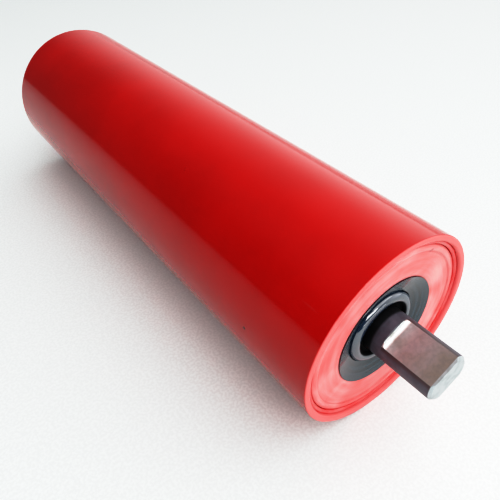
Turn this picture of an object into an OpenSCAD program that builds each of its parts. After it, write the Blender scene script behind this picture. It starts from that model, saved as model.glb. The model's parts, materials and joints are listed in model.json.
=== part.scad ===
// Conveyor idler roller: a steel tube turning on a fixed shaft, with a pressed bearing housing,
// a ball bearing and a labyrinth seal in each end.
// The roller's axis lies along Y, end a at -Y and end b at +Y, with the origin at its middle.

/* [Tube] */
// Outer diameter of the tube
tube_d = 89; // [83:0.5:133]
// Wall of the tube
tube_wall = 3; // [2.5:0.25:4.5]
// Length of the tube
tube_len = 295; // [200:5:600]
// Bevel on the tube's outer edges
tube_bevel = 0.4; // [0.2:0.1:0.8]
// Rounding on the tube's inner edges
tube_round = 1; // [0.6:0.1:1.4]

/* [Shaft] */
// Diameter of the shaft, and of the bearings' bores
shaft_d = 20; // [18:0.5:22]
// How far the shaft stands out of the tube at each end
shaft_out = 27; // [20:0.5:60]
// Distance across the two flats at each end
flats_apart = 14; // [12:0.5:16]
// How far the flats are turned from level, clockwise as end a faces the viewer
flats_turn = 28; // [0:1:90]
// Round length left between the tube's end and the flats
journal_out = 3.5; // [2:0.5:10]
// Radius that the cutter leaves where a flat ends
cutter_r = 2; // [1:0.25:2.5]
// Bevel on the shaft's ends
shaft_bevel = 1; // [0.5:0.1:1.5]

/* [Bearing] */
// Outer diameter of the bearings
bearing_d = 47; // [44:0.5:52]
// Width of the bearings
bearing_w = 14; // [12:0.5:16]
// Diameter of a ball
ball_d = 7.94; // [7:0.02:8.2]
// Number of balls in a bearing
ball_count = 8; // [6:1:9]
// Depth of the raceways
race_depth = 1.6; // [1:0.1:2]
// Running clearance between a ball and its raceways
race_gap = 0.1; // [0.04:0.02:0.2]
// Rounding on the corners of the bearing rings
ring_round = 1; // [0.5:0.1:1.2]
// Radial thickness of the cage
cage_t = 3; // [2:0.1:3.4]
// Clearance between a ball and its pocket in the cage
pocket_gap = 0.15; // [0.08:0.01:0.25]
// Thickness of the cage's base behind the balls
cage_base = 1.3; // [0.9:0.1:1.6]
// How far the cage's prongs reach past the balls' middles
prong_reach = 2.4; // [2:0.1:3]
// Width of the slots that part the prongs
prong_slot = 2; // [1.4:0.1:2.4]

/* [Bearing housing] */
// Thickness of the pressed sheet steel
sheet = 3; // [2:0.25:3.5]
// Inside radius of the sheet's bends
bend_r = 0.5; // [0.3:0.1:1]
// Depth of the housing's face below the tube's end
face_depth = 2.2; // [1.8:0.1:4]
// Length of the skirt that is welded into the tube
skirt_len = 14; // [8:1:25]
// Width of the raised ring around the face
ridge_w = 3; // [2:0.1:4]
// Height of the raised ring above the face
ridge_h = 0.6; // [0.3:0.1:0.8]
// Width of the welded groove between the raised ring and the tube
weld_w = 2.1; // [1.6:0.1:2.6]
// Depth of the crease where the raised ring meets the face
crease = 0.35; // [0.2:0.05:0.6]
// Diameter of the hole around the shaft at the housing's inner end
lip_hole_d = 28; // [24:1:34]

/* [Seals] */
// Depth of the seal chamber, from the housing's face to the bearing
chamber = 11.8; // [11.2:0.1:16]
// Wall of the moulded seal rings
seal_t = 1.3; // [1:0.1:1.5]
// How far the dust cover's brim reaches over the mouth of the housing
brim_over = 1.7; // [1.2:0.1:2.2]
// How far the brim stands above the housing's face
brim_proud = 0.1; // [0:0.1:0.5]
// How far the dust cover dishes inward from its brim to its hole
cover_dish = 2.9; // [2.4:0.1:3.2]
// Length of the dust cover in the bore
cover_len = 5.4; // [5:0.1:5.8]
// Diameter of the collar that stands in the cover's hole
collar_d = 33.4; // [32:0.2:36]
// How far the collar's crest lies below the cover's brim
collar_sink = 0.9; // [0.6:0.1:1.4]
// Height of the collar's dome above the open ring around the shaft
collar_dome = 1.6; // [1:0.1:2]
// Radial gap between the collar and the cover
collar_gap = 0.5; // [0.3:0.1:0.8]
// Width of the open ring around the shaft
recess_w = 2.2; // [1.8:0.1:3]
// Axial gap between the labyrinth's fins and webs
lab_gap = 0.7; // [0.5:0.1:0.9]
// Width of the grease seal behind the bearing
grease_seal_w = 3.5; // [3:0.1:5]
// Running gap between the grease seal and the shaft
grease_gap = 0.5; // [0.3:0.1:0.8]

/* [Circlip] */
// Thickness of the circlip
clip_t = 1.2; // [1:0.05:1.5]
// Widest radial width of the circlip, opposite its opening
clip_w = 3.1; // [2.6:0.1:3.4]
// Depth of the circlip's groove in the shaft
clip_groove = 0.5; // [0.4:0.05:0.7]
// Axial play of the circlip in its groove
clip_play = 0.1; // [0.05:0.05:0.2]
// Distance between the circlip's two lugs
clip_opening = 4; // [3:0.5:6]
// Diameter of the plier holes in the lugs
clip_hole_d = 2; // [1.5:0.1:2.2]
// Metal left around a plier hole
lug_rim = 0.8; // [0.6:0.1:1]
// How far the circlip's outer edge lies off its middle
clip_ecc = 0.4; // [0.2:0.05:0.5]

/* [Hidden] */
$fn = 96;
// Overlap that lets a cutting shape pass clean through a face
cut = 1;
// Clearance between a turning seal ring and its neighbours, and between the cover and the flared mouth
seal_clear = 0.4;
mouth_clear = 0.1;
tube_r = tube_d / 2;
tube_bore = tube_r - tube_wall;
shaft_r = shaft_d / 2;
bore_r = bearing_d / 2;
ball_r = ball_d / 2;
pitch_r = (shaft_r + bore_r) / 2;

// Depths below the tube's end, where positive is inward
flat_end = -shaft_out;
shoulder = -journal_out;
cover_z = face_depth - brim_proud;
cover_end = cover_z + cover_len;
bearing_z = face_depth + chamber;
ball_z = bearing_z + bearing_w / 2;
grease_z = bearing_z + bearing_w;
lip_z = grease_z + grease_seal_w;
housing_end = lip_z + sheet;
clip_z = bearing_z - clip_t;

// Bearing: lands beside the raceways, and the cage between them
inner_land = pitch_r - ball_r + race_depth;
outer_land = pitch_r + ball_r - race_depth;
cage_back = ball_r + cage_base;
slot_floor = cage_base;

// Housing: bends, and the places of its raised ring and weld
neck_r = bore_r + sheet;
mouth_r = sheet + bend_r;
weld_land = 0.1;
ridge_bite = 0.2;
weld_c = tube_bore - weld_land - weld_w / 2;
ridge_out = weld_c - weld_w / 2 + ridge_bite;
ridge_in = ridge_out - ridge_w;
ridge_r = (pow(ridge_w / 2, 2) + pow(ridge_h, 2)) / (2 * ridge_h);

// Seals: the hub on the shaft, the fins between it and the bore, and the two webs
hub_r = shaft_r + recess_w;
collar_r = collar_d / 2;
cover_hole = collar_r + collar_gap;
wall_r = bore_r - seal_t;
brim_r = bore_r + brim_over;
dish_slope = cover_dish / (brim_r - cover_hole);
wall_top = cover_z + dish_slope * (brim_r - wall_r) + seal_t / 2;
fin_gap = (wall_r - hub_r - 3 * seal_t) / 4;
fin_step = fin_gap + seal_t;
web_z = cover_end;
web_end = web_z + seal_t;
back_web_end = bearing_z - seal_clear;
back_web_z = back_web_end - seal_t;
collar_z = cover_z + collar_sink;
dome_land = 0.2;
recess_z = collar_z + collar_dome + dome_land;
dome_w = (collar_r - hub_r) / 2;
dome_r = (pow(dome_w, 2) + pow(collar_dome, 2)) / (2 * collar_dome);

// Circlip: its lugs, and the hole in the back web that clears them
clip_in = shaft_r - clip_groove;
clip_out = clip_in + clip_w - clip_ecc;
lug_r = clip_hole_d / 2 + lug_rim;
lug_lift = 0.3;
lug_c = clip_in + lug_r + lug_lift;
web_hole = lug_c + lug_r + 2 * seal_clear;

// Puts a piece drawn along +Z, with z as the depth below the tube's end, into end "a" or "b".
module at_end(end) {
    side = end == "a" ? -1 : 1;
    translate([0, side * tube_len / 2, 0]) rotate([side * 90, 0, 0]) children();
}

// Profile of a ring in the (radius, depth) plane.
module band(r0, r1, z0, z1) {
    translate([r0, z0]) square([r1 - r0, z1 - z0]);
}

// What a rounding of radius r takes off the corner at (x, y), whose material lies toward (sx, sy).
module corner(x, y, r, sx, sy) {
    difference() {
        translate([min(x, x + sx * r), min(y, y + sy * r)]) square(r);
        translate([x + sx * r, y + sy * r]) circle(r);
    }
}

// Drawn tube: a long shell with bevelled outer and rounded inner edges.
module shell_tube() {
    color("firebrick")
    rotate([90, 0, 0]) rotate_extrude() difference() {
        band(tube_bore, tube_r, -tube_len / 2, tube_len / 2);
        for (s = [-1, 1]) {
            corner(tube_bore, s * tube_len / 2, tube_round, 1, -s);
            polygon([
                [tube_r - tube_bevel, s * tube_len / 2],
                [tube_r + cut, s * (tube_len / 2 + cut)],
                [tube_r + cut, s * (tube_len / 2 - tube_bevel - cut)],
                [tube_r, s * (tube_len / 2 - tube_bevel)],
            ]);
        }
    }
}

// What a milling cutter takes off one side of a shaft end: a flat that ends in the cutter's radius.
module flat_cut() {
    translate([-shaft_r - cut, 0, 0]) rotate([90, 0, 90]) linear_extrude(shaft_d + 2 * cut)
    difference() {
        translate([flats_apart / 2, flat_end - cut])
            square([shaft_r, shoulder - flat_end + cut]);
        corner(flats_apart / 2, shoulder, cutter_r, 1, -1);
    }
}

// What is taken off one end of the shaft: two flats, the end's bevel and the circlip's groove.
module shaft_end_cut() {
    for (side = [0, 180]) rotate([0, 0, side - flats_turn]) flat_cut();
    rotate_extrude() polygon([
        [shaft_r - shaft_bevel, flat_end],
        [shaft_r + cut, flat_end - cut],
        [shaft_r + cut, flat_end + shaft_bevel + cut],
        [shaft_r, flat_end + shaft_bevel],
    ]);
    rotate_extrude() band(clip_in, shaft_r + cut, clip_z - clip_play, bearing_z);
}

// Bar that the roller turns on, held by the flats at both ends.
module shaft() {
    color("dimgray") difference() {
        rotate([90, 0, 0]) cylinder(r = shaft_r, h = tube_len + 2 * shaft_out, center = true);
        at_end("a") shaft_end_cut();
        mirror([0, 1, 0]) at_end("a") shaft_end_cut();
    }
}

// Profile of the pressed housing: skirt, face with its raised ring, flared mouth, neck and lip.
module housing_profile() {
    difference() {
        union() {
            band(neck_r, tube_bore, face_depth, face_depth + sheet);
            band(tube_bore - sheet, tube_bore, face_depth, skirt_len);
            band(bore_r, neck_r, face_depth, housing_end);
            band(lip_hole_d / 2, neck_r, lip_z, housing_end);
            corner(neck_r, face_depth + sheet, bend_r, 1, 1);
            corner(tube_bore - sheet, face_depth + sheet, bend_r, -1, 1);
            intersection() {
                translate([(ridge_in + ridge_out) / 2, face_depth - ridge_h + ridge_r]) circle(ridge_r);
                band(ridge_in, ridge_out, face_depth - ridge_h - cut, face_depth + sheet / 2);
            }
        }
        corner(bore_r, face_depth, mouth_r, 1, 1);
        corner(neck_r, housing_end, mouth_r, -1, -1);
        translate([ridge_in, face_depth]) circle(crease);
        translate([weld_c, face_depth - ridge_h / 2]) circle(weld_w / 2);
    }
}

// Pressed steel housing, welded into the tube, that carries the bearing and the seals.
module bearing_housing(end) {
    color("firebrick") at_end(end) rotate_extrude() housing_profile();
}

// Section of a bearing ring, with its corners rounded on the side away from the balls.
module race_ring(r_seat, r_land, away) {
    rotate_extrude() difference() {
        band(min(r_seat, r_land), max(r_seat, r_land), bearing_z, grease_z);
        corner(r_seat, bearing_z, ring_round, -away, 1);
        corner(r_seat, grease_z, ring_round, -away, -1);
        translate([pitch_r, ball_z]) circle(ball_r + race_gap);
    }
}

// Outer ring of the bearing, pressed into the housing.
module bearing_outer_ring(end) {
    color("silver") at_end(end) race_ring(bore_r, outer_land, 1);
}

// Inner ring of the bearing, pressed onto the shaft.
module bearing_inner_ring(end) {
    color("silver") at_end(end) race_ring(shaft_r, inner_land, -1);
}

// Repeats a piece at each ball's place around the bearing.
module around_balls(turn = 0) {
    for (i = [0 : ball_count - 1])
        rotate([0, 0, 360 / ball_count * i + turn]) translate([pitch_r, 0, ball_z]) children();
}

// Balls of one bearing.
module ball_set(end) {
    color("gainsboro") at_end(end) around_balls() sphere(r = ball_r);
}

// Moulded crown cage: a ring with an open pocket for each ball and prongs that hold it.
module bearing_cage(end) {
    color("tan") at_end(end) difference() {
        rotate_extrude()
            band(pitch_r - cage_t / 2, pitch_r + cage_t / 2, ball_z - prong_reach, ball_z + cage_back);
        around_balls() sphere(r = ball_r + pocket_gap);
        around_balls(180 / ball_count)
            translate([-cage_t, -prong_slot / 2, -prong_reach - cut])
            cube([2 * cage_t, prong_slot, prong_reach + cut + slot_floor]);
    }
}

// Moulded grease seal behind the bearing, pressed into the housing.
module grease_seal(end) {
    web = grease_z + (grease_seal_w - seal_t) / 2;
    color("darkslategray") at_end(end) rotate_extrude() {
        band(outer_land + seal_t, bore_r, grease_z, lip_z);
        band(shaft_r + grease_gap, bore_r - seal_t, web, web + seal_t);
        band(shaft_r + grease_gap, shaft_r + grease_gap + seal_t, web, lip_z);
    }
}

// One ring of the labyrinth, counted outward from the hub.
module fin(count, z0, z1) {
    inner = hub_r + fin_gap + (count - 1) * fin_step;
    band(inner, inner + seal_t, z0, z1);
}

// Labyrinth ring that turns with the housing: a back web whose middle fin points outward.
module labyrinth_outer(end) {
    color("darkslategray") at_end(end) rotate_extrude() {
        band(wall_r, bore_r, cover_end, bearing_z);
        band(web_hole, wall_r, back_web_z, back_web_end);
        fin(2, web_end + lab_gap, back_web_z);
    }
}

// Labyrinth ring that stays with the shaft: hub, web with two fins, and the domed collar seen outside.
module labyrinth_inner(end) {
    color("slategray") at_end(end) rotate_extrude() {
        band(shaft_r, hub_r, recess_z, clip_z);
        band(hub_r, hub_r + 3 * fin_step, web_z, web_end);
        fin(1, web_end, back_web_z - lab_gap);
        fin(3, web_end, back_web_z - lab_gap);
        band(hub_r, hub_r + seal_t, recess_z, web_z);
        band(collar_r - seal_t, collar_r, recess_z, web_z - lab_gap);
        intersection() {
            translate([hub_r + dome_w, collar_z + dome_r]) circle(dome_r);
            band(hub_r, collar_r, collar_z, recess_z);
        }
    }
}

// Moulded cover pressed into the mouth: a dished face, a wall in the bore and a drip lip.
module dust_cover(end) {
    color("#202428") at_end(end) rotate_extrude() difference() {
        union() {
            polygon([
                [cover_hole, cover_z + cover_dish],
                [brim_r, cover_z],
                [brim_r, cover_z + seal_t],
                [cover_hole, cover_z + cover_dish + seal_t],
            ]);
            band(wall_r, bore_r, wall_top, cover_end);
            band(cover_hole, cover_hole + seal_t, cover_z + cover_dish, cover_end - lab_gap);
        }
        translate([bore_r + mouth_r, face_depth + mouth_r]) circle(mouth_r + mouth_clear);
    }
}

// Spring circlip that holds the bearing on the shaft: thickest opposite its two drilled lugs.
module circlip(end) {
    lug_x = clip_opening / 2 + lug_r;
    lug_y = sqrt(lug_c * lug_c - lug_x * lug_x);
    color("#33373b") at_end(end) translate([0, 0, clip_z]) linear_extrude(clip_t) difference() {
        union() {
            translate([0, -clip_ecc]) circle(clip_out);
            for (s = [-1, 1]) translate([s * lug_x, lug_y]) circle(lug_r);
        }
        circle(clip_in);
        translate([-clip_opening / 2, 0]) square([clip_opening, 2 * clip_out]);
        for (s = [-1, 1]) translate([s * lug_x, lug_y]) circle(clip_hole_d / 2);
    }
}

shell_tube();
shaft();
bearing_housing("a");  // bearing_housing_a
bearing_housing("b");  // bearing_housing_b
bearing_outer_ring("a");  // bearing_outer_ring_a
bearing_outer_ring("b");  // bearing_outer_ring_b
bearing_inner_ring("a");  // bearing_inner_ring_a
bearing_inner_ring("b");  // bearing_inner_ring_b
ball_set("a");  // ball_set_a
ball_set("b");  // ball_set_b
bearing_cage("a");  // bearing_cage_a
bearing_cage("b");  // bearing_cage_b
grease_seal("a");  // grease_seal_a
grease_seal("b");  // grease_seal_b
labyrinth_outer("a");  // labyrinth_outer_a
labyrinth_outer("b");  // labyrinth_outer_b
labyrinth_inner("a");  // labyrinth_inner_a
labyrinth_inner("b");  // labyrinth_inner_b
dust_cover("a");  // dust_cover_a
dust_cover("b");  // dust_cover_b
circlip("a");  // circlip_a
circlip("b");  // circlip_b
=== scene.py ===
"""Finishes, weld beads, floor, lights and camera for a belt conveyor idler roller.

The roller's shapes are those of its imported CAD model. The operators below give each piece its
finish. They also add the painted weld bead in the groove of each end, and the paint that pooled in
the crease around each face. Lengths are in metres, unless a name or a comment says millimetres.
"""

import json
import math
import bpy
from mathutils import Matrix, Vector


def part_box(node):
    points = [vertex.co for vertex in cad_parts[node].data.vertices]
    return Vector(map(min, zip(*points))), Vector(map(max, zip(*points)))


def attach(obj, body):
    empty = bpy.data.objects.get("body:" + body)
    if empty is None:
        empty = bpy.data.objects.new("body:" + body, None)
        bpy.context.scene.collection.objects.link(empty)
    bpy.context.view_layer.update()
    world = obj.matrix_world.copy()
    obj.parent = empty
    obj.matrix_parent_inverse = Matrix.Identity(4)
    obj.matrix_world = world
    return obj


bl_info = {
    "name": "Conveyor roller finish",
    "version": (1, 0, 0),
    "blender": (4, 5, 0),
    "location": "3D View > Sidebar > Roller",
    "description": "Dresses a packed conveyor roller with its paint, plastics, steels and welds",
    "category": "Object",
}

import bpy
from bpy.props import FloatProperty, FloatVectorProperty, IntProperty, PointerProperty
from mathutils import Vector

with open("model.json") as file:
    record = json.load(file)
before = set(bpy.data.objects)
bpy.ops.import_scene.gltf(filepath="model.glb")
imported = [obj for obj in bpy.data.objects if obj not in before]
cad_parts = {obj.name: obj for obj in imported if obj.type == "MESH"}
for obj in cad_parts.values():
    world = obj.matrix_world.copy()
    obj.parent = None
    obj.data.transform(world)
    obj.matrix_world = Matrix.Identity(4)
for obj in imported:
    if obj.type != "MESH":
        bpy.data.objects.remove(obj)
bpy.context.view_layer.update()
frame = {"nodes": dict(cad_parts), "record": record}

MM = 0.001
NODES = frame["nodes"]
ENDS = ("a", "b")

# Sizes that the frame gives
TUBE_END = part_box("shell_tube")[1][1]
TUBE_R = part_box("shell_tube")[1][0]
SHAFT_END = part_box("shaft")[1][1]
FLOOR_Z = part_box("shell_tube")[0][2]
FLAT = next(m for m in frame["record"]["mounts"] if m["name"] == "flat_a_upper")
FLAT_NORMAL = Vector(FLAT["axis"])
FLAT_HEIGHT = FLAT_NORMAL.dot(Vector(FLAT["pos_m"]))

# Where the flats and the shaft's bevels start, which the frame doesn't give
SHOULDER = TUBE_END + 3.5 * MM
BEVEL = SHAFT_END - MM

# Marks on the paint of end a: middle and radius in millimetres, and how far each is drawn out
# along the three axes. A mark is at full strength over its core, a share of its radius.
TUBE_SPECK = ((-44.5, -111.5, 1.5), 1.0)
RIM_SPECK = ((38.8, -147.5, 20.7), 0.5)
FACE_SPECK = ((16.2, -145.6, 33.3), 1.3, (1, 4, 1))
SCRATCH = ((-34.8, -136.2, 27.7), 0.45, (1, 12, 1))
BLISTER = ((-26.9, -45, 35.5), 1.2)
MARK_CORE = 0.35
SCRATCH_STRENGTH = 0.045

# How many times longer than wide the housings' streaks and the cutter's and grinder's marks are
STREAK_STRETCH = 6
MILLING_STRETCH = 12
GRINDING_STRETCH = 20

# Linear light that fine dust adds to the moulded plastics, most of it blue
DUST = (0.014, 0.026, 0.038)

# Sections of the added rings: three to each ripple of a weld bead, and enough for a plain one
RIPPLE_SECTIONS = 3
PLAIN_SECTIONS = 180
MERGE_DISTANCE = 0.01 * MM

# Softboxes: name, place, width and height, and power in watts
SOFTBOXES = (
    ("key softbox", (0.28, -0.5, 1.25), (1.5, 1.5), 16.6),
    ("small softbox", (-0.35, -0.85, 0.7), (0.8, 0.35), 8),
    ("left softbox", (-0.9, -0.1, 1.1), (1.0, 1.0), 2.8),
    ("front strip", (-0.05, -1.1, 0.13), (1.2, 0.12), 2.4),
)
LIGHT_AIM = Vector((0, -0.07, 0))

# The room's glow: name, axis that it lies toward, where along it the glow starts and is full,
# and its strength. The backdrop is what the camera sees of the room.
GLOWS = (
    ("windows", "X", -0.1, 1.15, 2.5),
    ("ceiling", "Z", 0.4, 1, 0.53),
    ("sill", "X", 0.55, 1, 0.85),
    ("far wall", "Y", 0, 1, 0.16),
)
BACKDROP = 1.05

CAMERA_PLACE = Vector((-0.1247, -0.2211, 0.1535))
CAMERA_VIEW = Vector((0.46584, 0.61403, -0.63715))
SENSOR_WIDTH_MM = 36
NEAR_CLIP = 0.01

# The tone curve, as display levels before and after it, where 1 is white
TONE = (
    (0.06, 0.02), (0.12, 0.055), (0.2, 0.11), (0.3, 0.19), (0.4, 0.28), (0.5, 0.365),
    (0.6, 0.445), (0.7, 0.535), (0.8, 0.655), (0.9, 0.79), (1, 0.885), (1.15, 0.955), (1.4, 1.01),
)

# Settings of the nodes that map a range smoothly, and of those that mix colours or numbers
SMOOTH = {"interpolation_type": "SMOOTHSTEP"}
COLOURS = {"data_type": "RGBA", "out": "Result_Color"}
NUMBERS = {"data_type": "FLOAT", "out": "Result_Float"}


def decoded(level):
    """Linear light of an sRGB display level."""
    return level / 12.92 if level <= 0.04045 else ((level + 0.055) / 1.055) ** 2.4


def linear(hex_colour):
    """Linear colour of an sRGB hex value."""
    return [decoded(int(hex_colour[i:i + 2], 16) / 255) for i in (1, 3, 5)]


def scaled(tint, share):
    """A colour with a share of its strength."""
    return [c * share for c in tint]


def paler(tint, share):
    """A colour moved a share of the way to white."""
    return [c + (1 - c) * share for c in tint]


def colour(name, description, hex_colour):
    """A colour that a user would change."""
    return FloatVectorProperty(
        name=name, description=description, default=linear(hex_colour),
        size=3, subtype="COLOR", min=0, max=1,
    )


def length(name, description, mm):
    """A length that a user would change, given in millimetres."""
    return FloatProperty(
        name=name, description=description, default=mm * MM,
        min=0, precision=5, subtype="DISTANCE", unit="LENGTH",
    )


class RollerPaint(bpy.types.PropertyGroup):
    """The red enamels."""

    tube: colour("Tube enamel", "Gloss red of the tube", "#BA0C0C")
    # Partly painted sheen: the ends are drawn paler than the tube for the sheen of their lit faces
    housing: colour("Housing enamel", "Red of the pressed ends, chalkier than the tube", "#EE4442")
    weld: colour("Weld enamel", "Fresh red that pooled over the welds", "#DE2627")
    speck: colour("Specks", "Dirt caught in the tube's enamel", "#3A0605")
    face_speck: colour("Face speck", "Darker spot in the housing's enamel", "#A8262B")
    scratch: colour("Scratch", "Pink of a rubbed place on the tube", "#E07070")
    peel: length("Orange peel", "Width of the sprayed enamel's ripples", 2.5)
    streak: length("Streaks", "Width of the streaks in the ends' thicker coat", 3)


class RollerSeals(bpy.types.PropertyGroup):
    """The moulded seals."""

    cover: colour("Covers", "Black of the moulded covers", "#071822")
    collar: colour("Collars", "Dark grey of the moulded collars", "#192539")
    # Painted shade: the black of the recess beside the shaft, out to the radius of the edge below
    recess_shade_colour: colour("Grease", "Old grease in the ring beside the shaft", "#0A0A0C")
    grain: length("Moulding ripple", "Width of the faint waves in the moulded faces", 4)
    rings: length("Mould rings", "Width of the rings that a turned mould leaves", 1.3)
    recess_shade_edge: length("Grease edge", "Radius at which the grease has thinned out", 13.9)


class RollerSteel(bpy.types.PropertyGroup):
    """The shaft, and the bearings with their cages and circlips."""

    bar: colour("Drawn bar", "Dark oiled skin of the bar", "#504C56")
    # Painted shade: black where the bar runs into the dark recess of the seal
    root: colour("Bar's root", "Grease that creeps along the bar from the seals", "#08090C")
    # Painted reflection: the dark red-brown beside the flats stands in for the red paint that the
    # bar mirrors
    red_reflection: colour("Burnt oil", "Skin of the bar beside the milled flats", "#4C3C3F")
    # Partly painted highlight: the run-out is drawn near white for the light that it catches
    fresh_cut_and_highlight: colour("Run-out", "Brightest steel, where the flats run out", "#F0F2F1")
    blued: colour("Past the run-out", "Flats just past their run-out", "#C4DADA")
    milled: colour("Milled flats", "Bright steel under the cutter", "#AFA4A6")
    stain: colour("Stains", "Brown that creeps in from the flats' corners", "#8C7A66")
    sawn: colour("Sawn ends", "Bright steel of the shaft's ends", "#BABFC1")
    torn: colour("Torn patches", "Duller patches on the shaft's ends", "#A5A9AB")
    ground: colour("Bearing steel", "Ground rings and polished balls", "#B9B9BB")
    circlip: colour("Circlips", "Phosphated spring steel", "#2E3032")
    crystal: colour("Phosphate", "Paler crystals on the circlips", "#4A4D50")
    cage: colour("Cages", "Natural nylon of the bearing cages", "#D9CFB0")
    cage_cloud: colour("Cage clouds", "Yellower clouds in the cages' nylon", "#C9BC98")
    feed: length("Milling marks", "Spacing of the cutter's marks on the flats", 0.7)


class RollerWeld(bpy.types.PropertyGroup):
    """The weld beads, and the paint pooled in the creases."""

    ring: length("Bead radius", "Radius of the weld's middle line", 40.75)
    depth: length("Bead depth", "How far its middle lies below the tube's end", 2.35)
    width: length("Bead half width", "Half of the width of the bead", 0.95)
    ripple: length("Ripple spacing", "Distance from one ripple to the next", 3)
    rise: length("Ripple height", "How far each ripple stands out", 0.03)
    pool_ring: length("Pool radius", "Radius of the face's crease, where paint pooled", 36.5)
    pool_depth: length("Pool depth", "How far its middle lies below the tube's end", 2.42)
    pool_width: length("Pool half width", "Half of the width of the pooled paint", 0.35)
    sides: IntProperty(
        name="Bead sides", description="Faces around the bead's section", default=12, min=6,
    )


class RollerStage(bpy.types.PropertyGroup):
    """The floor and the camera."""

    floor: colour("Floor", "Pale floor", "#EBF2F1")
    floor_size: length("Floor size", "Width of the floor", 16000)
    lens: FloatProperty(
        name="Lens", description="Focal length in millimetres", default=36.99, min=1,
    )


GROUPS = {
    "roller_paint": RollerPaint,
    "roller_seals": RollerSeals,
    "roller_steel": RollerSteel,
    "roller_weld": RollerWeld,
    "roller_stage": RollerStage,
}


def socket_of(sockets, key):
    """The socket with a number, an identifier or a name."""
    if isinstance(key, int):
        return sockets[key]
    return next(socket for socket in sockets if key in (socket.identifier, socket.name))


def node(tree, kind, values=None, out=0, **settings):
    """Adds a shader node with its settings, fills or links its sockets, and gives an output."""
    new = tree.nodes.new("ShaderNode" + kind)
    for name, value in settings.items():
        setattr(new, name, value)
    for key, value in (values or {}).items():
        socket = socket_of(new.inputs, key)
        if isinstance(value, bpy.types.NodeSocket):
            tree.links.new(value, socket)
        elif socket.type == "RGBA":
            socket.default_value = (*value, 1)
        else:
            socket.default_value = value
    return socket_of(new.outputs, out) if new.outputs else new


def new_material(name):
    """An empty node material, its tree, and where a point lies on its piece."""
    material = bpy.data.materials.new(name)
    material.use_nodes = True
    tree = material.node_tree
    tree.nodes.clear()
    return material, tree, node(tree, "TexCoord", out="Object")


def from_axis(tree, where):
    """A point's place across the roller's axis, and its distance from it."""
    across = node(tree, "VectorMath", {0: where, 1: (1, 0, 1)}, operation="MULTIPLY")
    return across, node(tree, "VectorMath", {0: across}, out="Value", operation="LENGTH")


def from_middle(tree, where):
    """A point's distance along the axis from the roller's middle, toward either end."""
    along = node(tree, "SeparateXYZ", {"Vector": where}, out="Y")
    return node(tree, "Math", {0: along}, operation="ABSOLUTE")


def mark(tree, where, centre, radius, stretch=(1, 1, 1)):
    """1 in the core of a mark, fading to 0 at its radius. Both are given in millimetres."""
    centre = [c * MM for c in centre]
    squeeze = [1 / s for s in stretch]
    away = node(tree, "VectorMath", {0: where, 1: centre}, operation="SUBTRACT")
    away = node(tree, "VectorMath", {0: away, 1: squeeze}, operation="MULTIPLY")
    away = node(tree, "VectorMath", {0: away}, out="Value", operation="LENGTH")
    return node(
        tree, "MapRange",
        {
            "Value": away, "From Min": MARK_CORE * radius * MM, "From Max": radius * MM,
            "To Min": 1, "To Max": 0,
        },
        **SMOOTH,
    )


def dress(material, *names):
    """Gives a material to CAD nodes."""
    for name in names:
        NODES[name].data.materials.clear()
        NODES[name].data.materials.append(material)


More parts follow.
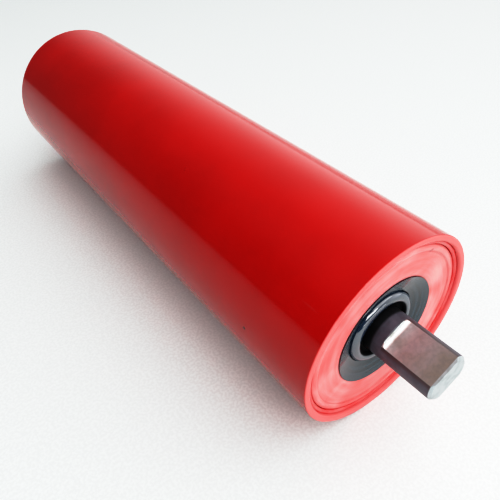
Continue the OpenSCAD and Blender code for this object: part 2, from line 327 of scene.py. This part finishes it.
def tube_enamel(paint):
    """Alkyd enamel sprayed on steel tube: wet gloss with faint orange peel and a few specks."""
    material, tree, where = new_material("sprayed gloss enamel")
    along = from_middle(tree, where)
    _, radius = from_axis(tree, where)

    # The sprayed coat is a little deeper in wide soft clouds
    clouds = node(tree, "TexNoise", {"Vector": where, "Scale": 1 / (40 * MM), "Detail": 3})
    clouds = node(
        tree, "MapRange", {"Value": clouds, "From Min": 0.3, "From Max": 0.7}, **SMOOTH,
    )
    tone = node(
        tree, "Mix",
        {"Factor": clouds, "A_Color": paint.tube, "B_Color": scaled(paint.tube, 0.9)},
        **COLOURS,
    )
    specks = node(
        tree, "Math",
        {0: mark(tree, where, *TUBE_SPECK), 1: mark(tree, where, *RIM_SPECK)},
        operation="MAXIMUM",
    )
    tone = node(
        tree, "Mix", {"Factor": specks, "A_Color": tone, "B_Color": paint.speck}, **COLOURS,
    )
    scratch = node(
        tree, "Math", {0: mark(tree, where, *SCRATCH), 1: SCRATCH_STRENGTH}, operation="MULTIPLY",
    )
    tone = node(
        tree, "Mix", {"Factor": scratch, "A_Color": tone, "B_Color": paint.scratch}, **COLOURS,
    )

    # Inside its mouth the tube is the fresh red of the welds, and the coats run together softly
    mouth = node(
        tree, "MapRange",
        {
            "Value": radius, "From Min": TUBE_R - 1.4 * MM, "From Max": TUBE_R - 0.6 * MM,
            "To Min": 1, "To Max": 0,
        },
        **SMOOTH,
    )
    tone = node(
        tree, "Mix",
        {"Factor": mouth, "A_Color": tone, "B_Color": paler(paint.weld, 0.1)},
        **COLOURS,
    )

    # The cut end was painted with the housing, so it has that coat's duller skin and its paler
    # red, which is partly a painted sheen
    cut_end = node(
        tree, "MapRange",
        {"Value": along, "From Min": TUBE_END - 1.2 * MM, "From Max": TUBE_END - 0.1 * MM},
        **SMOOTH,
    )
    rim = node(
        tree, "MapRange",
        {
            "Value": radius, "From Min": TUBE_R - 0.3 * MM, "From Max": TUBE_R - 0.05 * MM,
            "To Min": 1, "To Max": 0,
        },
        **SMOOTH,
    )
    cut_end = node(tree, "Math", {0: cut_end, 1: rim}, operation="MULTIPLY")
    tone = node(
        tree, "Mix",
        {"Factor": cut_end, "A_Color": tone, "B_Color": paler(paint.housing, 0.1)},
        **COLOURS,
    )
    gloss = node(tree, "MapRange", {"Value": cut_end, "To Min": 0.1, "To Max": 0.3}, **SMOOTH)

    # Orange peel breaks up the edges of reflections, and one blister catches the light
    peel = node(tree, "TexNoise", {"Vector": where, "Scale": 1 / paint.peel, "Detail": 1})
    bumps = node(tree, "Bump", {"Height": peel, "Strength": 0.12, "Distance": 0.05 * MM})
    blister = mark(tree, where, *BLISTER)
    bumps = node(
        tree, "Bump",
        {"Height": blister, "Strength": 0.6, "Distance": 0.15 * MM, "Normal": bumps},
    )
    surface = node(
        tree, "BsdfPrincipled",
        {"Base Color": tone, "Roughness": gloss, "IOR": 1.3, "Normal": bumps},
    )
    node(tree, "OutputMaterial", {"Surface": surface})
    return material


def housing_enamel(paint):
    """The same enamel, thicker and streaky so its reflections smear; its paler red is partly
    painted sheen.
    """
    material, tree, where = new_material("brushed thick enamel")
    across, radius = from_axis(tree, where)

    # The coat was laid on as the roller turned, so its streaks run around the axis
    squeeze = (1 / STREAK_STRETCH, 0, 1 / STREAK_STRETCH)
    around = node(tree, "VectorMath", {0: across, 1: squeeze}, operation="MULTIPLY")
    outward = node(tree, "CombineXYZ", {"Y": radius})
    around = node(tree, "VectorMath", {0: around, 1: outward}, operation="ADD")
    streaks = node(tree, "TexNoise", {"Vector": around, "Scale": 1 / paint.streak, "Detail": 3})
    clouds = node(
        tree, "TexNoise",
        {"Vector": where, "Scale": 1 / (16 * MM), "Detail": 2, "Distortion": 0.8},
    )
    shade = node(tree, "Math", {0: streaks, 1: clouds}, operation="ADD")
    shade = node(tree, "MapRange", {"Value": shade, "From Min": 0.5, "From Max": 1.5}, **SMOOTH)
    tone = node(
        tree, "Mix",
        {"Factor": shade, "A_Color": paint.housing, "B_Color": paler(paint.housing, 0.25)},
        **COLOURS,
    )

    # The welded groove and the bore keep the tube's deeper red, without the face's partly painted
    # sheen
    outer = node(
        tree, "MapRange",
        {
            "Value": from_middle(tree, where),
            "From Min": TUBE_END - 2.9 * MM, "From Max": TUBE_END - 2.4 * MM,
        },
        **SMOOTH,
    )
    tone = node(
        tree, "Mix", {"Factor": outer, "A_Color": paint.tube, "B_Color": tone}, **COLOURS,
    )
    speck = mark(tree, where, *FACE_SPECK)
    tone = node(
        tree, "Mix", {"Factor": speck, "A_Color": tone, "B_Color": paint.face_speck}, **COLOURS,
    )
    bumps = node(tree, "Bump", {"Height": streaks, "Strength": 0.25, "Distance": 0.06 * MM})
    gloss = node(tree, "MapRange", {"Value": outer, "To Min": 0.12, "To Max": 0.3}, **SMOOTH)
    surface = node(
        tree, "BsdfPrincipled", {"Base Color": tone, "Roughness": gloss, "Normal": bumps},
    )
    node(tree, "OutputMaterial", {"Surface": surface})
    return material


def weld_enamel(paint):
    """Enamel that ran together over the weld: wet, glinting, and the deepest red of an end."""
    material, tree, where = new_material("pooled gloss enamel")
    runs = node(tree, "TexNoise", {"Vector": where, "Scale": 1 / (12 * MM), "Detail": 2})
    runs = node(tree, "MapRange", {"Value": runs, "From Min": 0.4, "From Max": 0.7}, **SMOOTH)
    tone = node(
        tree, "Mix",
        {"Factor": runs, "A_Color": paint.weld, "B_Color": paler(paint.weld, 0.08)},
        **COLOURS,
    )
    drops = node(tree, "TexNoise", {"Vector": where, "Scale": 1 / (2 * MM), "Detail": 1})
    bumps = node(tree, "Bump", {"Height": drops, "Strength": 0.35, "Distance": 0.1 * MM})
    surface = node(
        tree, "BsdfPrincipled", {"Base Color": tone, "Roughness": 0.12, "Normal": bumps},
    )
    node(tree, "OutputMaterial", {"Surface": surface})
    return material


def moulded_nylon(name, tint, seals, ior, dullest):
    """Glass-filled nylon: near black and glossy, with faint rings from a lathe-turned mould."""
    material, tree, where = new_material(name)
    _, radius = from_axis(tree, where)

    # The mould's rings are drawn coarser than the real 0.3 mm so that they show
    outward = node(tree, "CombineXYZ", {"Y": radius})
    rings = node(tree, "TexNoise", {"Vector": outward, "Scale": 1 / seals.rings, "Detail": 1})
    rings = node(
        tree, "MapRange", {"Value": rings, "From Min": 0.38, "From Max": 0.62}, **SMOOTH,
    )
    dusty = [c + dust for c, dust in zip(tint, DUST)]
    tone = node(tree, "Mix", {"Factor": rings, "A_Color": tint, "B_Color": dusty}, **COLOURS)

    # Faint waves in the moulded faces bend their reflections and vary their gloss
    waves = node(tree, "TexNoise", {"Vector": where, "Scale": 1 / seals.grain, "Detail": 2})
    bumps = node(tree, "Bump", {"Height": waves, "Strength": 0.2, "Distance": 0.05 * MM})
    gloss = node(
        tree, "MapRange",
        {
            "Value": waves, "From Min": 0.3, "From Max": 0.7,
            "To Min": 0.5 * dullest, "To Max": dullest,
        },
        **SMOOTH,
    )

    # Near the shaft the plastic is painted black, dull and metallic: painted shade of its recess
    recess_shade = node(
        tree, "MapRange",
        {
            "Value": radius, "From Min": seals.recess_shade_edge - MM, "From Max": seals.recess_shade_edge,
            "To Min": 1, "To Max": 0,
        },
        **SMOOTH,
    )
    gloss = node(tree, "Mix", {"Factor": recess_shade, "A_Float": gloss, "B_Float": 0.9}, **NUMBERS)
    tone = node(
        tree, "Mix", {"Factor": recess_shade, "A_Color": tone, "B_Color": seals.recess_shade_colour}, **COLOURS,
    )
    surface = node(
        tree, "BsdfPrincipled",
        {
            "Base Color": tone, "Metallic": recess_shade, "Roughness": gloss, "IOR": ior,
            "Normal": bumps,
        },
    )
    node(tree, "OutputMaterial", {"Surface": surface})
    return material


def shaft_steel(steel):
    """Bright-drawn mild steel bar: a dark oiled skin, and flats and ends cut bright."""
    material, tree, where = new_material("drawn steel with milled flats")
    along = from_middle(tree, where)
    height = node(
        tree, "VectorMath", {0: where, 1: FLAT_NORMAL}, out="Value", operation="DOT_PRODUCT",
    )
    height = node(tree, "Math", {0: height}, operation="ABSOLUTE")

    # Metal that was cut: above the flats' height and past the round journal, or on the sawn and
    # bevelled end
    past = node(
        tree, "MapRange",
        {"Value": along, "From Min": SHOULDER, "From Max": SHOULDER + 0.1 * MM},
        **SMOOTH,
    )
    high = node(
        tree, "MapRange",
        {
            "Value": height,
            "From Min": FLAT_HEIGHT - 0.04 * MM, "From Max": FLAT_HEIGHT - 0.01 * MM,
        },
        **SMOOTH,
    )
    flat = node(tree, "Math", {0: past, 1: high}, operation="MULTIPLY")
    sawn = node(
        tree, "MapRange",
        {"Value": along, "From Min": BEVEL - 0.02 * MM, "From Max": BEVEL + 0.02 * MM},
        **SMOOTH,
    )
    cut_metal = node(tree, "Math", {0: flat, 1: sawn}, operation="MAXIMUM")

    # The flats are brightest beside the round journal, fresh cut and partly a painted highlight,
    # and dull toward the end. Past the run-out the steel is a shade bluer, which holds back the
    # red that it mirrors.
    blued = node(
        tree, "MapRange",
        {"Value": along, "From Min": TUBE_END + 5.2 * MM, "From Max": TUBE_END + 6 * MM},
        **SMOOTH,
    )
    bright = node(
        tree, "Mix", {"Factor": blued, "A_Color": steel.fresh_cut_and_highlight, "B_Color": steel.blued}, **COLOURS,
    )
    toward_end = node(
        tree, "MapRange",
        {"Value": along, "From Min": TUBE_END + 5 * MM, "From Max": TUBE_END + 12 * MM},
        **SMOOTH,
    )
    bright = node(
        tree, "Mix", {"Factor": toward_end, "A_Color": bright, "B_Color": steel.milled}, **COLOURS,
    )

    # Stains thicken toward the end and lie about in patches, and the cut holds a fine dark grit
    outward = node(
        tree, "MapRange",
        {
            "Value": along, "From Min": TUBE_END + 12 * MM, "From Max": SHAFT_END,
            "To Max": 0.55,
        },
        **SMOOTH,
    )
    bright = node(
        tree, "Mix", {"Factor": outward, "A_Color": bright, "B_Color": steel.stain}, **COLOURS,
    )
    patches = node(
        tree, "TexNoise",
        {"Vector": where, "Scale": 1 / (7 * MM), "Detail": 3, "Distortion": 0.5},
    )
    patches = node(
        tree, "MapRange",
        {"Value": patches, "From Min": 0.45, "From Max": 0.7, "To Max": 0.35},
        **SMOOTH,
    )
    bright = node(
        tree, "Mix", {"Factor": patches, "A_Color": bright, "B_Color": steel.stain}, **COLOURS,
    )
    grit = node(tree, "TexNoise", {"Vector": where, "Scale": 1 / (1.4 * MM), "Detail": 3})
    grit = node(
        tree, "MapRange",
        {"Value": grit, "From Min": 0.35, "From Max": 0.68, "To Max": 0.16},
        **SMOOTH,
    )
    bright = node(
        tree, "Mix", {"Factor": grit, "A_Color": bright, "B_Color": steel.bar}, **COLOURS,
    )

    # The saw left the ends in brighter and duller patches
    torn = node(tree, "TexNoise", {"Vector": where, "Scale": 1 / (3 * MM), "Detail": 4})
    torn = node(tree, "MapRange", {"Value": torn, "From Min": 0.4, "From Max": 0.7}, **SMOOTH)
    end = node(
        tree, "Mix", {"Factor": torn, "A_Color": steel.sawn, "B_Color": steel.torn}, **COLOURS,
    )
    bright = node(tree, "Mix", {"Factor": sawn, "A_Color": bright, "B_Color": end}, **COLOURS)

    # The bar's skin is mottled. Beside each flat it is painted a dark red-brown, a painted
    # reflection of the red paint nearby, and its root inside the seal is painted black, as painted
    # shade.
    mottle = node(tree, "TexNoise", {"Vector": where, "Scale": 1 / (5 * MM), "Detail": 4})
    mottle = node(
        tree, "MapRange", {"Value": mottle, "From Min": 0.35, "From Max": 0.7}, **SMOOTH,
    )
    skin = node(
        tree, "Mix",
        {"Factor": mottle, "A_Color": steel.bar, "B_Color": scaled(steel.bar, 1.5)},
        **COLOURS,
    )
    beside = node(
        tree, "MapRange",
        {
            "Value": height,
            "From Min": FLAT_HEIGHT - 2.2 * MM, "From Max": FLAT_HEIGHT - 0.4 * MM,
        },
        **SMOOTH,
    )
    # Beside each flat the skin takes the painted reflection of the red paint
    red_reflection = node(tree, "Math", {0: past, 1: beside}, operation="MULTIPLY")
    skin = node(
        tree, "Mix", {"Factor": red_reflection, "A_Color": skin, "B_Color": steel.red_reflection}, **COLOURS,
    )
    # The bar's root inside the seal is painted black, as painted shade of the recess there
    root = node(
        tree, "MapRange",
        {
            "Value": along, "From Min": TUBE_END - 1.6 * MM, "From Max": TUBE_END - 0.4 * MM,
            "To Min": 1, "To Max": 0,
        },
        **SMOOTH,
    )
    skin = node(tree, "Mix", {"Factor": root, "A_Color": skin, "B_Color": steel.root}, **COLOURS)
    tone = node(tree, "Mix", {"Factor": cut_metal, "A_Color": skin, "B_Color": bright}, **COLOURS)

    # The cutter's marks are drawn coarser than the real 0.2 mm so that they show
    coarse = 1 / (steel.feed * MILLING_STRETCH)
    marks = node(tree, "Mapping", {"Vector": where, "Scale": (coarse, 1 / steel.feed, coarse)})
    marks = node(tree, "TexNoise", {"Vector": marks, "Scale": 1, "Detail": 2})
    bumps = node(tree, "Bump", {"Height": marks, "Strength": 0.3, "Distance": 0.03 * MM})
    gloss = node(tree, "Mix", {"Factor": cut_metal, "A_Float": 0.5, "B_Float": 0.4}, **NUMBERS)

    # The oiled skin of the bar hides half of its metal, which only the cutter bares
    bare = node(tree, "MapRange", {"Value": cut_metal, "To Min": 0.5, "To Max": 1}, **SMOOTH)
    surface = node(
        tree, "BsdfPrincipled",
        {"Base Color": tone, "Metallic": bare, "Roughness": gloss, "Normal": bumps},
    )
    node(tree, "OutputMaterial", {"Surface": surface})
    return material


def ground_steel(name, steel, roughness):
    """Hardened bearing steel: ground rings show fine lines around the axis, lapped balls none."""
    material, tree, where = new_material(name)

    # Grinding lines are drawn coarser than the real 0.05 mm so that they show
    spacing = 0.4 * MM
    coarse = 1 / (spacing * GRINDING_STRETCH)
    lines = node(tree, "Mapping", {"Vector": where, "Scale": (coarse, 1 / spacing, coarse)})
    lines = node(tree, "TexNoise", {"Vector": lines, "Scale": 1, "Detail": 2})
    bumps = node(tree, "Bump", {"Height": lines, "Strength": roughness, "Distance": 0.01 * MM})
    tone = node(
        tree, "Mix",
        {"Factor": lines, "A_Color": steel.ground, "B_Color": scaled(steel.ground, 0.85)},
        **COLOURS,
    )
    surface = node(
        tree, "BsdfPrincipled",
        {"Base Color": tone, "Metallic": 1, "Roughness": roughness, "Normal": bumps},
    )
    node(tree, "OutputMaterial", {"Surface": surface})
    return material


def cage_nylon(steel):
    """Unfilled natural nylon: a milky yellow with soft clouds, and a waxy half gloss."""
    material, tree, where = new_material("natural nylon")
    clouds = node(tree, "TexNoise", {"Vector": where, "Scale": 1 / (6 * MM), "Detail": 3})
    tone = node(
        tree, "Mix",
        {"Factor": clouds, "A_Color": steel.cage, "B_Color": steel.cage_cloud},
        **COLOURS,
    )
    surface = node(tree, "BsdfPrincipled", {"Base Color": tone, "Roughness": 0.42})
    node(tree, "OutputMaterial", {"Surface": surface})
    return material


def spring_steel(steel):
    """Phosphated spring steel: charcoal grey, matt and faintly crystalline."""
    material, tree, where = new_material("phosphated spring steel")

    # The crystals are drawn coarser than the real 0.02 mm so that they show
    crystals = node(tree, "TexNoise", {"Vector": where, "Scale": 1 / (0.5 * MM), "Detail": 4})
    tone = node(
        tree, "Mix",
        {"Factor": crystals, "A_Color": steel.circlip, "B_Color": steel.crystal},
        **COLOURS,
    )
    bumps = node(tree, "Bump", {"Height": crystals, "Strength": 0.3, "Distance": 0.02 * MM})
    surface = node(
        tree, "BsdfPrincipled",
        {"Base Color": tone, "Metallic": 0.6, "Roughness": 0.55, "Normal": bumps},
    )
    node(tree, "OutputMaterial", {"Surface": surface})
    return material


def floor_board(stage):
    """Matt white board: its fine grain gives the floor a speckle that only shows close by."""
    material, tree, where = new_material("matt white board")
    grain = node(tree, "TexNoise", {"Vector": where, "Scale": 1 / (1.2 * MM), "Detail": 2})
    speckle = node(
        tree, "MapRange", {"Value": grain, "From Min": 0.4, "From Max": 0.62}, **SMOOTH,
    )
    tone = node(
        tree, "Mix",
        {"Factor": speckle, "A_Color": scaled(stage.floor, 0.9), "B_Color": stage.floor},
        **COLOURS,
    )
    bumps = node(tree, "Bump", {"Height": grain, "Strength": 0.25, "Distance": 0.15 * MM})
    surface = node(
        tree, "BsdfPrincipled", {"Base Color": tone, "Roughness": 0.6, "Normal": bumps},
    )
    node(tree, "OutputMaterial", {"Surface": surface})
    return material


def both(*stems):
    """Names of the nodes at both ends."""
    return [f"{stem}_{end}" for stem in stems for end in ENDS]


def deselect():
    """Deselects every object."""
    for ob in bpy.context.selected_objects:
        ob.select_set(False)


def edit(ob):
    """Opens one object, and no other, in edit mode."""
    deselect()
    ob.select_set(True)
    bpy.context.view_layer.objects.active = ob
    bpy.ops.object.mode_set(mode="EDIT")


class RollerOperator:
    """What the roller's operators share."""

    bl_options = {"REGISTER", "UNDO"}


class ROLLER_OT_tube(RollerOperator, bpy.types.Operator):
    """Paints the tube."""

    bl_idname = "roller.tube"
    bl_label = "Tube"

    def execute(self, context):
        dress(tube_enamel(context.scene.roller_paint), "shell_tube")
        return {"FINISHED"}


class ROLLER_OT_housings(RollerOperator, bpy.types.Operator):
    """Paints the pressed housings."""

    bl_idname = "roller.housings"
    bl_label = "Housings"

    def execute(self, context):
        dress(housing_enamel(context.scene.roller_paint), *both("bearing_housing"))
        return {"FINISHED"}


class ROLLER_OT_seals(RollerOperator, bpy.types.Operator):
    """Gives the covers, collars and seals their moulded plastics."""

    bl_idname = "roller.seals"
    bl_label = "Seals"

    def execute(self, context):
        seals = context.scene.roller_seals
        black = moulded_nylon("black moulded nylon", seals.cover, seals, ior=1.58, dullest=0.2)
        grey = moulded_nylon(
            "dark grey moulded nylon", seals.collar, seals, ior=2.3, dullest=0.07,
        )
        dress(black, *both("dust_cover", "labyrinth_outer", "grease_seal"))
        dress(grey, *both("labyrinth_inner"))
        return {"FINISHED"}


class ROLLER_OT_shaft(RollerOperator, bpy.types.Operator):
    """Gives the shaft its drawn and milled steel."""

    bl_idname = "roller.shaft"
    bl_label = "Shaft"

    def execute(self, context):
        dress(shaft_steel(context.scene.roller_steel), "shaft")
        return {"FINISHED"}


class ROLLER_OT_bearings(RollerOperator, bpy.types.Operator):
    """Gives the bearings and circlips their finishes."""

    bl_idname = "roller.bearings"
    bl_label = "Bearings"

    def execute(self, context):
        steel = context.scene.roller_steel
        rings = ground_steel("ground bearing steel", steel, roughness=0.25)
        balls = ground_steel("lapped bearing steel", steel, roughness=0.06)
        dress(rings, *both("bearing_outer_ring", "bearing_inner_ring"))
        dress(balls, *both("ball_set"))
        dress(cage_nylon(steel), *both("bearing_cage"))
        dress(spring_steel(steel), *both("circlip"))
        return {"FINISHED"}


class ROLLER_OT_welds(RollerOperator, bpy.types.Operator):
    """Models the painted weld bead of each end, and the paint pooled in each face's crease."""

    bl_idname = "roller.welds"
    bl_label = "Welds"

    def execute(self, context):
        weld = context.scene.roller_weld
        wet = weld_enamel(context.scene.roller_paint)
        coat = NODES["bearing_housing_a"].data.materials[0]
        sections = RIPPLE_SECTIONS * round(math.tau * weld.ring / weld.ripple)
        bead = self.add_ring(
            "weld_bead", weld.ring, weld.depth, weld.width, weld.sides, sections,
        )
        self.raise_ripples(bead, sections, weld.rise)
        self.place_pair(bead, "weld_bead", weld.depth, wet)
        pool = self.add_ring(
            "pooled_paint", weld.pool_ring, weld.pool_depth, weld.pool_width, weld.sides,
            PLAIN_SECTIONS,
        )
        self.place_pair(pool, "pooled_paint", weld.pool_depth, coat)
        return {"FINISHED"}

    def add_ring(self, stem, radius, depth, half_width, sides, sections):
        """A closed ring around the axis at end a."""
        deselect()
        bpy.ops.mesh.primitive_circle_add(
            vertices=sides, radius=half_width, location=(radius, depth - TUBE_END, 0),
        )
        ring = bpy.context.object
        ring.name = ring.data.name = f"{stem}_a"
        bpy.ops.object.transform_apply(location=True, rotation=True, scale=True)
        edit(ring)
        bpy.ops.mesh.select_all(action="SELECT")
        bpy.ops.mesh.spin(steps=sections, angle=math.tau, center=(0, 0, 0), axis=(0, 1, 0))
        bpy.ops.mesh.select_all(action="SELECT")
        bpy.ops.mesh.remove_doubles(threshold=MERGE_DISTANCE)
        bpy.ops.mesh.normals_make_consistent(inside=False)
        bpy.ops.object.mode_set(mode="OBJECT")
        if len(ring.data.vertices) != sections * sides:
            raise RuntimeError(f"{stem} didn't close")
        return ring

    def raise_ripples(self, ring, sections, rise):
        """Lets one section of each ripple stand out, as the torch's pauses leave it."""
        for vertex in ring.data.vertices:
            turn = math.atan2(vertex.co.z, vertex.co.x) / math.tau * sections
            vertex.select = round(turn) % RIPPLE_SECTIONS == 0
        bpy.ops.object.mode_set(mode="EDIT")
        bpy.ops.transform.shrink_fatten(value=rise)
        bpy.ops.object.mode_set(mode="OBJECT")

    def place_pair(self, near, stem, depth, material):
        """Finishes the ring of end a, copies it to end b, and lets both ride on the shell."""
        bpy.ops.object.shade_smooth()
        near.data.materials.append(material)
        far = near.copy()
        far.data = near.data.copy()
        far.name = far.data.name = f"{stem}_b"
        bpy.context.collection.objects.link(far)
        edit(far)
        bpy.ops.mesh.select_all(action="SELECT")
        bpy.ops.transform.translate(value=(0, 2 * (TUBE_END - depth), 0))
        bpy.ops.object.mode_set(mode="OBJECT")
        for ob in (near, far):
            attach(ob, "shell")


class ROLLER_OT_stage(RollerOperator, bpy.types.Operator):
    """Adds the floor, the lights, the room and the camera."""

    bl_idname = "roller.stage"
    bl_label = "Stage"

    def execute(self, context):
        stage = context.scene.roller_stage
        self.add_floor(stage)
        self.add_room(context.scene)
        for name, place, size, power in SOFTBOXES:
            self.add_softbox(name, place, size, power)
        self.add_camera(context.scene, stage.lens)
        self.set_tone(context.scene.view_settings)
        return {"FINISHED"}

    def add_floor(self, stage):
        """Pale seamless floor that the roller lies on."""
        deselect()
        bpy.ops.mesh.primitive_plane_add(size=stage.floor_size, location=(0, 0, FLOOR_Z))
        floor = bpy.context.object
        floor.name = "floor"
        bpy.ops.object.transform_apply(location=True)
        floor.data.materials.append(floor_board(stage))

    def add_room(self, scene):
        """A room that is bright to the right and above, and dark to the left."""
        world = bpy.data.worlds.new("studio room")
        world.use_nodes = True
        tree = world.node_tree
        tree.nodes.clear()
        facing = node(tree, "TexCoord", out="Generated")
        strength = 0
        for name, axis, start, full, glow in GLOWS:
            toward = node(tree, "SeparateXYZ", {"Vector": facing}, out=axis)
            light = node(
                tree, "MapRange",
                {"Value": toward, "From Min": start, "From Max": full, "To Max": glow},
                label=name, **SMOOTH,
            )
            strength = node(tree, "Math", {0: strength, 1: light}, operation="ADD")

        # Looked at straight, the room is a plain pale backdrop
        seen = node(tree, "LightPath", out="Is Camera Ray")
        strength = node(
            tree, "Mix", {"Factor": seen, "A_Float": strength, "B_Float": BACKDROP}, **NUMBERS,
        )
        room = node(tree, "Background", {"Color": linear("#FFFFFF"), "Strength": strength})
        node(tree, "OutputWorld", {"Surface": room})
        scene.world = world

    def add_softbox(self, name, place, size, power):
        """A softbox that is aimed at the roller's near half."""
        light = bpy.data.lights.new(name, "AREA")
        light.shape = "RECTANGLE"
        light.energy = power
        light.size, light.size_y = size
        lamp = bpy.data.objects.new(name, light)
        lamp.location = place
        lamp.rotation_euler = (LIGHT_AIM - Vector(place)).to_track_quat("-Z", "Y").to_euler()
        bpy.context.collection.objects.link(lamp)

    def add_camera(self, scene, lens):
        """Camera above end a, looking down along the roller."""
        camera = bpy.data.objects.new("camera", bpy.data.cameras.new("camera"))
        camera.location = CAMERA_PLACE
        camera.rotation_euler = CAMERA_VIEW.to_track_quat("-Z", "Y").to_euler()
        camera.data.lens = lens
        camera.data.sensor_width = SENSOR_WIDTH_MM
        camera.data.clip_start = NEAR_CLIP
        scene.collection.objects.link(camera)
        scene.camera = camera

    def set_tone(self, view):
        """A print-like tone curve: deeper darks, and whites that roll off softly."""
        view.view_transform = "Standard"
        view.use_curve_mapping = True
        mapping = view.curve_mapping
        # The curve spans the light from black to the table's last level
        white = decoded(TONE[-1][0])
        mapping.white_level = (white, white, white)
        curve = mapping.curves[3]
        curve.points[0].location = (0, 0)
        curve.points[-1].location = (1, decoded(TONE[-1][1]))
        for before, after in TONE[:-1]:
            curve.points.new(decoded(before) / white, decoded(after))
        mapping.update()


OPERATORS = (
    ROLLER_OT_tube,
    ROLLER_OT_housings,
    ROLLER_OT_seals,
    ROLLER_OT_shaft,
    ROLLER_OT_bearings,
    ROLLER_OT_welds,
    ROLLER_OT_stage,
)


class ROLLER_PT_panel(bpy.types.Panel):
    """Lists the roller's sizes, colours and operators."""

    bl_idname = "ROLLER_PT_panel"
    bl_label = "Conveyor roller"
    bl_space_type = "VIEW_3D"
    bl_region_type = "UI"
    bl_category = "Roller"

    def draw(self, context):
        """Draws a box for each group of properties, and a button for each operator."""
        for name, group in GROUPS.items():
            box = self.layout.box()
            for prop in group.__annotations__:
                box.prop(getattr(context.scene, name), prop)
        for operator in OPERATORS:
            self.layout.operator(operator.bl_idname)


def register():
    """Registers the property groups, the operators and the panel."""
    for group in GROUPS.values():
        bpy.utils.register_class(group)
    for name, group in GROUPS.items():
        setattr(bpy.types.Scene, name, PointerProperty(type=group))
    for cls in (*OPERATORS, ROLLER_PT_panel):
        bpy.utils.register_class(cls)


def unregister():
    """Takes away what register added, in the opposite order."""
    for cls in (ROLLER_PT_panel, *reversed(OPERATORS)):
        bpy.utils.unregister_class(cls)
    for name in GROUPS:
        delattr(bpy.types.Scene, name)
    for group in reversed(GROUPS.values()):
        bpy.utils.unregister_class(group)


def main():
    """Dresses the roller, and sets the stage."""
    register()
    bpy.ops.roller.tube()
    bpy.ops.roller.housings()
    bpy.ops.roller.seals()
    bpy.ops.roller.shaft()
    bpy.ops.roller.bearings()
    bpy.ops.roller.welds()
    bpy.ops.roller.stage()


if __name__ == "__main__":
    main()
